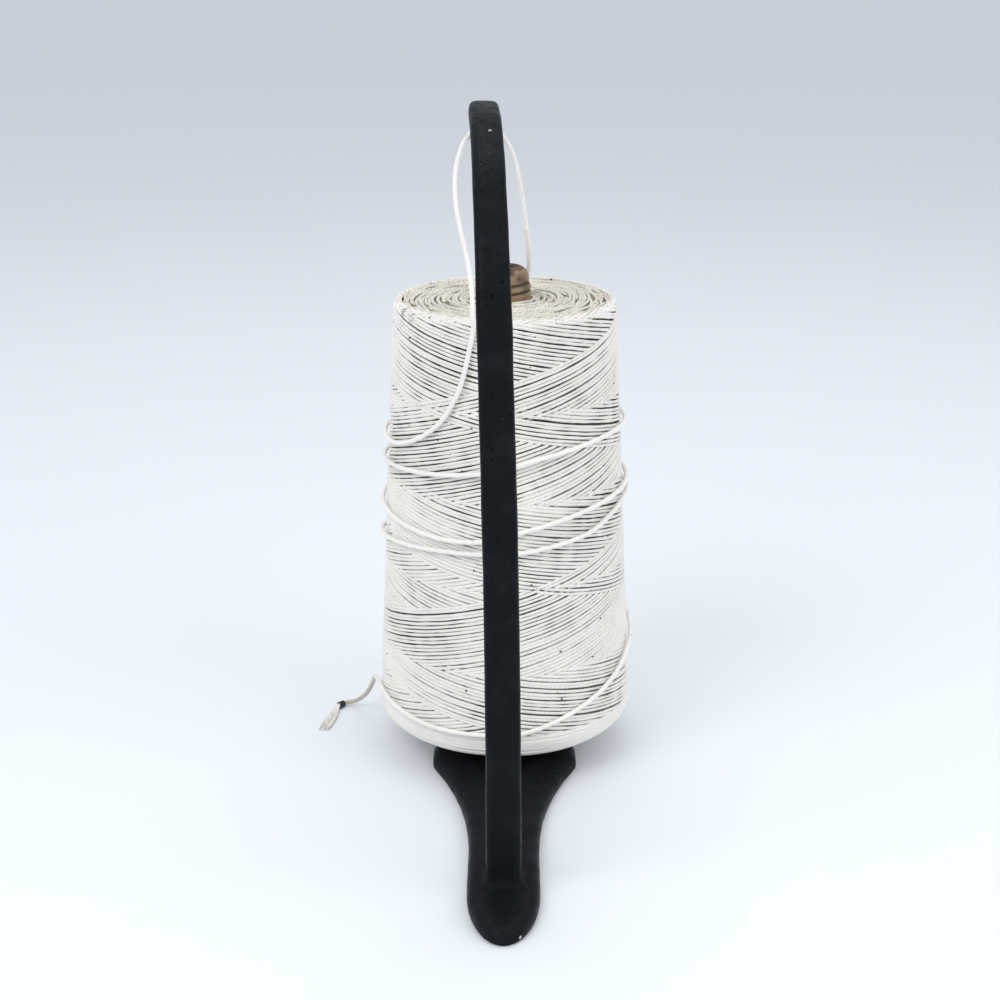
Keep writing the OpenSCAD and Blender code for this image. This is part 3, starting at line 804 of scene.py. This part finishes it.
class OBJECT_OT_string_holder_core(bpy.types.Operator):
    """Makes the creased paper core"""

    bl_idname = "object.string_holder_core"
    bl_label = "Make the paper core"

    def execute(self, context):
        props = context.scene.string_holder_core
        nose_w = CORE_NOSE_R - NOSE_HOLE_R
        side = self.side(CORE_Z, NOSE_Z - CREASED_H, PLAIN_STEPS)
        side += self.side(NOSE_Z - CREASED_H, NOSE_Z, CREASED_STEPS)
        outer = self.rounding(nose_w, NOSE_H)
        inner = self.rounding(nose_w - CORE_WALL, NOSE_H - CORE_WALL)
        bm = bmesh.new()
        lathe(bm, [*side, *outer, *reversed(inner), (CORE_FOOT_R - CORE_WALL, CORE_Z)])
        layer = bm.verts.layers.float.new("fold")
        for vert in bm.verts:
            spot = vert.co / MM
            if spot.z > CREASE_FROM:
                vert[layer], spot = self.crease(spot)
                vert.co = spot * MM
        finish_piece(bm, "core", kraft_paper(tuple(props.paper)), "cone", "kraft_paper", "paper_core")
        return {"FINISHED"}

    def side(self, low, high, steps):
        """Profile of the core's side between two heights, without its last point."""
        heights = [between(low, high, i / steps) for i in range(steps)]
        return [(core_r(z), z) for z in heights]

    def rounding(self, width, height):
        """Profile of the nose, from the core's side to the edge of the hole."""
        turns = [QUARTER * i / NOSE_STEPS for i in range(NOSE_STEPS + 1)]
        return [(NOSE_HOLE_R + width * math.cos(a), NOSE_Z + height * math.sin(a)) for a in turns]

    def ring_mark(self, p, angle, height, sway, turns, phase, width):
        """Strength of a fold that runs round the nose."""
        return math.exp(-(((p.z - height - sway * math.sin(turns * angle + phase)) / width) ** 2))

    def patch_mark(self, p, angle, place, reach, height, width, power):
        """Strength of a mark at one side of the nose. A high power gives it a firm edge."""
        return math.exp(-(((angle - place) / reach) ** power) - ((p.z - height) / width) ** power)

    def crease(self, p):
        """Painted shade and place of a point of the nose, which is dented, folded and torn, and leans a
        little. The shade lies in the folds and the tear, on a patch next to the hole's rim and at the hole's
        mouth.
        """
        angle = math.atan2(p.x, -p.y)
        fold = self.ring_mark(p, angle, height=222.0, sway=1.3, turns=1, phase=0.2, width=0.7)
        tuck = self.ring_mark(p, angle, height=219.0, sway=0.7, turns=1.3, phase=-0.4, width=0.6)
        tear = self.patch_mark(p, angle, place=0.62, reach=0.17, height=225.4, width=1.2, power=2)
        patch_shade = self.patch_mark(p, angle, place=-0.1, reach=0.5, height=228.2, width=1.4, power=4)
        mouth_shade = smooth_step((p.z - 228.6) / 1.2)
        ripple = 0.12 * math.sin(2.4 * p.z + 1.2 * math.sin(2 * angle))
        dent = min(0.25, 0.5 * noise.noise(p * 0.22) + ripple)
        out = Vector((p.x, p.y, 0)).normalized()
        shift = out * (dent - 0.7 * fold - 0.5 * tuck - 0.4 * tear) * smooth_step((p.z - 212) / 4)
        lean = Vector(NOSE_LEAN) * smooth_step((p.z - 208) / 14)
        # The darkness is painted shade: in the folds and the tear, on a patch next to the rim and at the
        # hole's mouth
        return min(1.0, 1.2 * fold + 1.1 * tuck + tear + patch_shade + 0.6 * mouth_shade), p + shift + lean


class OBJECT_OT_string_holder_cone(bpy.types.Operator):
    """Winds the cone: strands of both directions, foot loops and top arcs over a plain body"""

    bl_idname = "object.string_holder_cone"
    bl_label = "Wind the cone"

    def execute(self, context):
        props = context.scene.string_holder_cone
        rng = random.Random(props.seed)
        white = tuple(props.cotton)
        strand = cotton("cone_twine", white, (0.68, 0.64, 0.58), amount=0.35, depth=0.2, smeared=True)
        # The body's dark tones are painted shade: they show in the gaps between the strands and under the
        # top's arcs
        body = cotton("cone_body", (0.11, 0.104, 0.092), (0.07, 0.064, 0.055), amount=0.6, depth=0.05)
        end = cotton("cone_end", (0.20, 0.18, 0.15), (0.12, 0.105, 0.085), amount=0.6, depth=0.05)
        self.wind_body(props, body, end)
        up, down = mm(props.pitch_up), mm(props.pitch_down)
        for name, way, pitch, other in (("cone_rising", 1, up, down), ("cone_falling", -1, down, up)):
            bm = bmesh.new()
            count = round(pitch / mm(props.spacing))
            for index in range(count):
                self.wind_strand(bm, props, rng, index, count, way, pitch, other)
            nodes = ("outer_winding",) if way == 1 else ()
            finish_piece(bm, name, strand, "cone", "cotton_twine", *nodes)
        foot = cotton("foot_twine", (0.84, 0.815, 0.77), (0.66, 0.63, 0.58), amount=0.3, depth=0.06)
        self.wind_foot(rng, foot)
        # The top face's twine has a darker, browner tone than the side's, and more of the soil mask
        soiled = cotton(
            "top_twine", (0.79, 0.75, 0.66), (0.42, 0.38, 0.31), amount=0.75, depth=0.3, smeared=True)
        self.wind_top(props, rng, soiled)
        return {"FINISHED"}

    def edge(self, r, z, size, from_below, steps):
        """Profile of a rounded edge that starts at the foot or ends on the top."""
        turns = [QUARTER * i / steps for i in range(steps + 1)]
        if from_below:
            return [(r - size + size * math.sin(a), z + size - size * math.cos(a)) for a in turns]
        return [(r - size + size * math.cos(a), z - size + size * math.sin(a)) for a in turns]

    def wind_body(self, props, material, end):
        """The package under the strands, dark as painted shade between them, with a less dark end as painted
        shade under the top's arcs.
        """
        sunk = BODY_DEPTH * mm(props.strand_d)
        lower = self.edge(CONE_FOOT_R - sunk, CONE_Z + sunk, FOOT_ROUND, from_below=True, steps=8)
        upper = self.edge(CONE_TOP_R - sunk, CONE_TOP_Z - sunk, TOP_ROUND, from_below=False, steps=6)
        first = (core_r(CONE_Z) + CORE_GAP, CONE_Z + sunk)
        last = (core_r(CONE_TOP_Z) + CORE_GAP, CONE_TOP_Z - sunk)
        bm = bmesh.new()
        lathe(bm, [first, *lower, *upper, last])
        piece = finish_piece(bm, "cone_body", material, "cone", "cotton_body", "string_package")
        piece.data.materials.append(end)
        for face in piece.data.polygons:
            face.material_index = int(face.normal.z > END_SLOPE)

    def wind_strand(self, bm, props, rng, index, count, way, pitch, other):
        """One strand from the foot over the rim, shown where it lies over the strands of the other way."""
        half = mm(props.strand_d) / 2
        age = (index + 0.5 + rng.uniform(-0.5, 0.5)) / count
        shift = rng.uniform(-SHIFT, SHIFT)
        swing, phase = rng.uniform(*SWING), rng.uniform(0, TAU)
        puff = rng.uniform(*PUFF)
        shoulder = CONE_TOP_Z - RIM_R
        low, high = CONE_Z + STRAND_FROM, shoulder + RIM_REACH * RIM_R
        steps = int((high - low) / pitch * math.hypot(TAU * MEAN_R, pitch) / mm(props.step))
        run = []
        for i in range(steps + 1):
            z = between(low, high, i / steps)
            climb = way * (z - CONE_Z - mm(props.lift))
            share = index / count + climb / pitch
            over = (share + climb / other) % 1.0
            if over < UNDER:
                over += 1.0
            risen = smooth_step((over - age + DIVE) / DIVE)
            left = smooth_step((1.0 + UNDER - over) / (2 * UNDER))
            depth = min(risen, left, smooth_step((z - low) / FADE_IN))
            shiver = SHIVER * noise.noise((0.4 * i, 7.3 * index, 20 * way))
            wander = shift + swing * math.sin(WAVE * z + phase) + shiver
            inset = half - puff + SUNK * (1 - depth)
            bend = max(0.0, (z + wander - shoulder) / RIM_R)
            r = cone_r(z) - RIM_R + (RIM_R - inset) * math.cos(bend)
            height = min(z + wander, shoulder) + (RIM_R - inset) * math.sin(bend)
            spot = polar(r, TAU * (share + props.turn), height)
            if over - age > -DIVE:
                run.append((spot, half * self.swell(spot)))
            elif run:
                self.lay(bm, run)
                run = []
        self.lay(bm, run)

    def swell(self, spot):
        """Factor of a strand's thickness: in worn patches, more of them low down, fluff fills the gaps."""
        patches = 2 * noise.noise(spot * 0.021)
        less_right, less_high = 0.007 * spot.x, 1.7 * (spot.z - CONE_Z) / CONE_H
        worn = 0.9 + patches - less_right - less_high
        uneven = RANDOM_SWELL * noise.noise(spot * 0.2)
        return min(MOST_SWELL, 1 + WORN_SWELL * smooth_step(worn) + uneven)

    def lay(self, bm, run):
        if len(run) > 2:
            add_tube(bm, [spot for spot, _ in run], lambda i: run[i][1], sides=7)

    def wind_foot(self, rng, material):
        """Loops side by side round the foot's rounding and under it."""
        half = TWINE_R
        bm = bmesh.new()
        for i in range(EDGE_LOOPS):
            a = QUARTER * i / EDGE_QUARTER
            r = CONE_FOOT_R - FOOT_ROUND + (FOOT_ROUND - half) * math.sin(a)
            z = CONE_Z + FOOT_ROUND - (FOOT_ROUND - half) * math.cos(a)
            self.loop(bm, rng, r, z, half, wobble=0.12, tilt=0.3)
        for i in range(UNDER_LOOPS):
            r = between(*UNDER_R, i / (UNDER_LOOPS - 1))
            self.loop(bm, rng, r, CONE_Z + half, half, wobble=0.3, tilt=0.0)
        finish_piece(bm, "cone_foot", material, "cone", "cotton_twine")

    def loop(self, bm, rng, r, z, half, wobble, tilt):
        """One closed turn of twine that sways in and out and leans."""
        phase, tip, second = rng.uniform(0, TAU), rng.uniform(0, TAU), rng.uniform(0, TAU)
        lift = rng.uniform(-0.1, 0.1)
        count = max(40, int(TAU * r / 4))
        points = []
        for i in range(count):
            a = TAU * i / count
            sway = wobble * (math.sin(2 * a + phase) + 0.5 * math.sin(5 * a + second))
            points.append(polar(r + sway, a, z + lift + tilt * math.sin(a + tip)))
        add_tube(bm, points, half, sides=7, closed=True)

    def wind_top(self, props, rng, material):
        """Short arcs, each climbing out from under the last, in rings from the core to the shoulder."""
        half = ARC_R * mm(props.strand_d)
        bm = bmesh.new()
        self.loop(bm, rng, CONE_TOP_R - RIM_R, CONE_TOP_Z - half - 0.3, half, wobble=0.3, tilt=0.25)
        for i in range(TOP_RINGS):
            r = between(TOP_INNER_R, TOP_OUTER_R, i / (TOP_RINGS - 1))
            count = max(5, int(TAU * r / ARC_SPACING))
            turn = rng.uniform(0, TAU)
            for j in range(count):
                first = turn + TAU * (j + rng.uniform(-ARC_SHIFT, ARC_SHIFT)) / count
                length = TAU / count * rng.uniform(*ARC_REACH)
                drift = rng.uniform(*ARC_DRIFT) * rng.choice((-1, 1, 1))
                lift = rng.uniform(*ARC_LIFT)
                points = []
                for k in range(TOP_STEPS + 1):
                    share = k / TOP_STEPS
                    z = CONE_TOP_Z - half - ARC_SUNK + lift - ARC_DIP * abs(2 * share - 1) ** 2.4
                    reach = min(TOP_MOST_R, max(TOP_LEAST_R, r + drift * (share - 0.5) * 2))
                    points.append(polar(reach, first + length * share, z))
                add_tube(bm, points, half, sides=6)
        finish_piece(bm, "cone_top", material, "cone", "cotton_twine")


class OBJECT_OT_string_holder_twine(bpy.types.Operator):
    """Lays the free twine, its binding and its frayed end"""

    bl_idname = "object.string_holder_twine"
    bl_label = "Lay the free twine"

    def execute(self, context):
        props = context.scene.string_holder_twine
        half = mm(props.diameter) / 2
        lay = mm(props.lay)
        points, tuft = free_route()
        path = even_path(curve_points(points, steps=4), step=1.0)
        white = cotton(
            "free_twine", tuple(props.cotton), (0.70, 0.68, 0.63), amount=0.4, depth=0.10, lay=lay,
            greyed_from=path_length(path) - GREYED_END)
        loose = cotton(
            "fray_fibres", (0.90, 0.87, 0.82), (0.72, 0.68, 0.61), amount=0.3, depth=0.02, lay=lay)

        def plied(angle, run):
            slub = SLUB_H * math.exp(-(((run - SLUB_AT) / SLUB_HALF) ** 2)) * (1 + math.sin(angle))
            ridge = abs(math.cos(PLIES / 2 * (angle - TAU * run / lay)))
            return 1 - PLY_DEPTH + PLY_DEPTH * ridge + slub

        bm = bmesh.new()
        add_tube(bm, path, half, sides=9, shape=plied)
        twine = finish_piece(
            bm, "twine", white, "holder", "cotton_twine", "string_lead", "loose_turns", "string_tail")
        binding = self.bind(path)
        fray = self.fray(props, path, tuft, loose)
        return {"FINISHED"}

    def bind(self, path):
        """Turns of dark thread round the twine's last few millimetres."""
        end = path[-1]
        ahead = (path[-1] - path[-4]).normalized()
        start = end - ahead * BIND_L
        normal = ahead.orthogonal().normalized()
        side = ahead.cross(normal)
        count = BIND_TURNS * BIND_POINTS
        points = []
        for i in range(count + 1):
            a = TAU * i / BIND_POINTS
            spot = start.lerp(end, i / count)
            points.append(spot + (normal * math.cos(a) + side * math.sin(a)) * (TWINE_R + BIND_R))
        bm = bmesh.new()
        add_tube(bm, points, BIND_R, sides=6)
        return finish_piece(bm, "binding", dark_thread(), "holder", "dark_thread", "tail_binding")

    def fray(self, props, path, tuft, material):
        """Loose fibres that fan out flat on the counter from the twine's end."""
        rng = random.Random(FIBRE_SEED)
        steps = 6
        spine = curve_points([path[-6], path[-1], *tuft], steps)[steps:]
        bm = bmesh.new()
        last = len(spine) - 1
        for _ in range(props.fibres):
            offset = rng.uniform(-1, 1)
            height = rng.uniform(0, 1)
            reach = int(last * rng.uniform(*FIBRE_REACH))
            waver, phase = rng.uniform(0.0, 0.35), rng.uniform(0, TAU)
            points = []
            for i in range(reach + 1):
                share = i / last
                ahead = (spine[min(i + 1, last)] - spine[max(i - 1, 0)]).normalized()
                side = Vector((ahead.y, -ahead.x, 0)).normalized()
                spread = between(*FAN_HALF, smooth_step(share * 1.6))
                start_z, end_z = spine[i].z + (height - 0.5) * 1.5, 0.2 + height * 0.9
                z = between(start_z, end_z, smooth_step(share * 3))
                spot = spine[i] + side * (offset * spread + waver * math.sin(6 * share + phase))
                points.append(Vector((spot.x, spot.y, max(FIBRE_LEAST_Z, z))))
            add_tube(bm, points, FIBRE_R, sides=4)
        return finish_piece(bm, "fray", material, "holder", "cotton_twine", "tail_tuft")


class OBJECT_OT_string_holder_stage(bpy.types.Operator):
    """Sets the counter, the lights and the camera"""

    bl_idname = "object.string_holder_stage"
    bl_label = "Set the stage"

    def execute(self, context):
        scene = context.scene
        props = scene.string_holder_stage
        self.aim_camera(scene)
        self.lay_floor(scene, tuple(props.floor_tone))
        for name, place, size, power in LAMPS:
            self.light(scene, name, place, size, getattr(props, power))
        self.set_sky(scene, tuple(props.floor_tone))
        scene.view_settings.view_transform = "Standard"
        return {"FINISHED"}

    def aim_camera(self, scene):
        camera = bpy.data.objects.new("camera", bpy.data.cameras.new("camera"))
        scene.collection.objects.link(camera)
        scene.camera = camera
        camera.location = CAMERA_PLACE
        camera.rotation_euler = (math.radians(90 - CAMERA_DOWN), 0, math.radians(CAMERA_LEFT))
        camera.data.sensor_width = SENSOR
        camera.data.lens = LENS
        camera.data.dof.use_dof = False

    def lay_floor(self, scene, tone):
        bm = bmesh.new()
        bmesh.ops.create_grid(bm, x_segments=1, y_segments=1, size=FLOOR_HALF)
        mesh = bpy.data.meshes.new("floor")
        bm.to_mesh(mesh)
        bm.free()
        material, _, shader = new_material("floor")
        shader.inputs["Base Color"].default_value = (*tone, 1)
        shader.inputs["Roughness"].default_value = 0.6
        mesh.materials.append(material)
        floor = bpy.data.objects.new("floor", mesh)
        scene.collection.objects.link(floor)

    def light(self, scene, name, place, size, power):
        data = bpy.data.lights.new(name, "AREA")
        data.energy = power
        data.size = size
        lamp = bpy.data.objects.new(name, data)
        scene.collection.objects.link(lamp)
        lamp.location = place
        aim = Vector(LAMP_AIM) - Vector(place)
        lamp.rotation_euler = aim.to_track_quat("-Z", "Y").to_euler()

    def set_sky(self, scene, floor_tone):
        """Even light, seen directly and in reflections in the tone of the lit floor."""
        world = bpy.data.worlds.new("studio")
        scene.world = world
        world.use_nodes = True
        tree = world.node_tree
        rays = tree.nodes.new("ShaderNodeLightPath")
        seen = math_node(tree, "ADD", rays.outputs["Is Camera Ray"], rays.outputs["Is Glossy Ray"])
        seen = math_node(tree, "ADD", seen, rays.outputs["Is Transmission Ray"])
        horizon = tuple(light * floor for light, floor in zip(SKY_TONE, floor_tone))
        back = tree.nodes["Background"]
        back.inputs["Strength"].default_value = SKY_STRENGTH
        tree.links.new(mix_colour(tree, seen, SKY_TONE, horizon), back.inputs["Color"])


class VIEW3D_PT_string_holder(bpy.types.Panel):
    """The string holder's values and steps"""

    bl_label = "String holder"
    bl_space_type = "VIEW_3D"
    bl_region_type = "UI"
    bl_category = "String holder"

    def draw(self, context):
        for group in GROUPS:
            values = getattr(context.scene, group)
            for name in values.__annotations__:
                self.layout.prop(values, name)
        for step in STEPS:
            self.layout.operator(step.bl_idname)


GROUPS = {
    "string_holder_casting": CastingProps,
    "string_holder_core": CoreProps,
    "string_holder_cone": ConeProps,
    "string_holder_twine": TwineProps,
    "string_holder_stage": StageProps,
}
STEPS = (
    OBJECT_OT_string_holder_stage,
    OBJECT_OT_string_holder_twine,
    OBJECT_OT_string_holder_casting,
    OBJECT_OT_string_holder_spindle,
    OBJECT_OT_string_holder_core,
    OBJECT_OT_string_holder_cone,
)


def register():
    for name, props in GROUPS.items():
        bpy.utils.register_class(props)
        setattr(bpy.types.Scene, name, bpy.props.PointerProperty(type=props))
    for step in STEPS:
        bpy.utils.register_class(step)
    bpy.utils.register_class(VIEW3D_PT_string_holder)


def unregister():
    bpy.utils.unregister_class(VIEW3D_PT_string_holder)
    for step in reversed(STEPS):
        bpy.utils.unregister_class(step)
    for name, props in reversed(GROUPS.items()):
        delattr(bpy.types.Scene, name)
        bpy.utils.unregister_class(props)


def main():
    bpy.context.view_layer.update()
    register()
    bpy.ops.object.string_holder_stage()
    bpy.ops.object.string_holder_twine()
    bpy.ops.object.string_holder_casting()
    bpy.ops.object.string_holder_spindle()
    bpy.ops.object.string_holder_core()
    bpy.ops.object.string_holder_cone()


if __name__ == "__main__":
    main()
